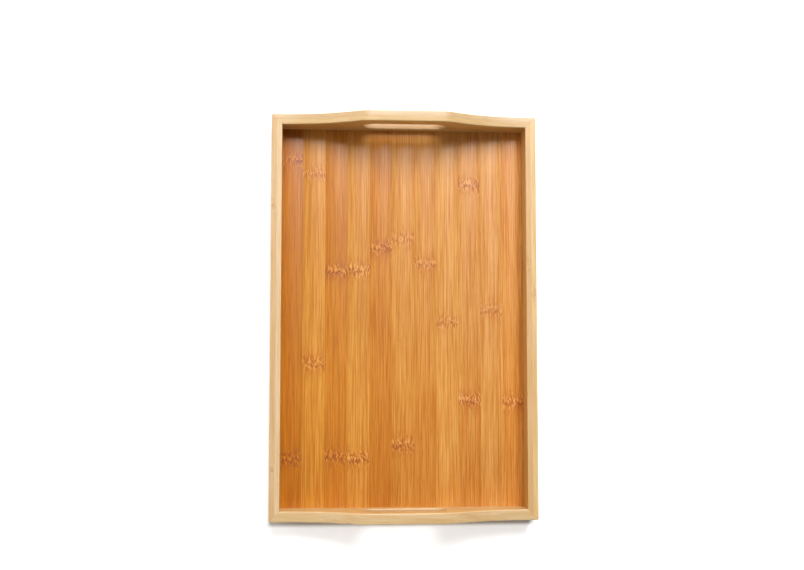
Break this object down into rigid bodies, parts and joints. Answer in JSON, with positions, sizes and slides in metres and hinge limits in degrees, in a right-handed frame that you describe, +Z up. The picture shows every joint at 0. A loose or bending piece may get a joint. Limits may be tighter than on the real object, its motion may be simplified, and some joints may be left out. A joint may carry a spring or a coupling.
{
  "type": "serving tray",
  "caption": "Rectangular bamboo serving tray: mitred low rails, raised swept ends with hand slots, and a flat base of edge-glued strips.",
  "frame": {"origin": "middle of the footprint, on the surface that the tray stands on", "axes": "+X along the tray towards the right-hand end with its hand slot, +Y across the tray towards the back rail, +Z up out of the tray"},
  "size_m": [0.42, 0.277, 0.06],
  "materials": {
    "bamboo_rail": "natural bamboo, satin lacquer",
    "bamboo_base": "carbonised bamboo strips, satin lacquer",
    "brad_steel": "bright steel brads, heads set below the face"
  },
  "bodies": {
    "root": {"front_rail_outer_ply": "bamboo_rail", "front_rail_inner_ply": "bamboo_rail", "back_rail_outer_ply": "bamboo_rail", "back_rail_inner_ply": "bamboo_rail", "left_end_outer_ply": "bamboo_rail", "left_end_inner_ply": "bamboo_rail", "right_end_outer_ply": "bamboo_rail", "right_end_inner_ply": "bamboo_rail", "base_strip_01": "bamboo_base", "base_strip_02": "bamboo_base", "base_strip_03": "bamboo_base", "base_strip_04": "bamboo_base", "base_strip_05": "bamboo_base", "base_strip_06": "bamboo_base", "base_strip_07": "bamboo_base", "base_strip_08": "bamboo_base", "base_strip_09": "bamboo_base", "base_strip_10": "bamboo_base", "base_strip_11": "bamboo_base", "brad_front_left_1": "brad_steel", "brad_front_left_2": "brad_steel", "brad_front_right_1": "brad_steel", "brad_front_right_2": "brad_steel", "brad_back_left_1": "brad_steel", "brad_back_left_2": "brad_steel", "brad_back_right_1": "brad_steel", "brad_back_right_2": "brad_steel"}
  },
  "joints": []
}
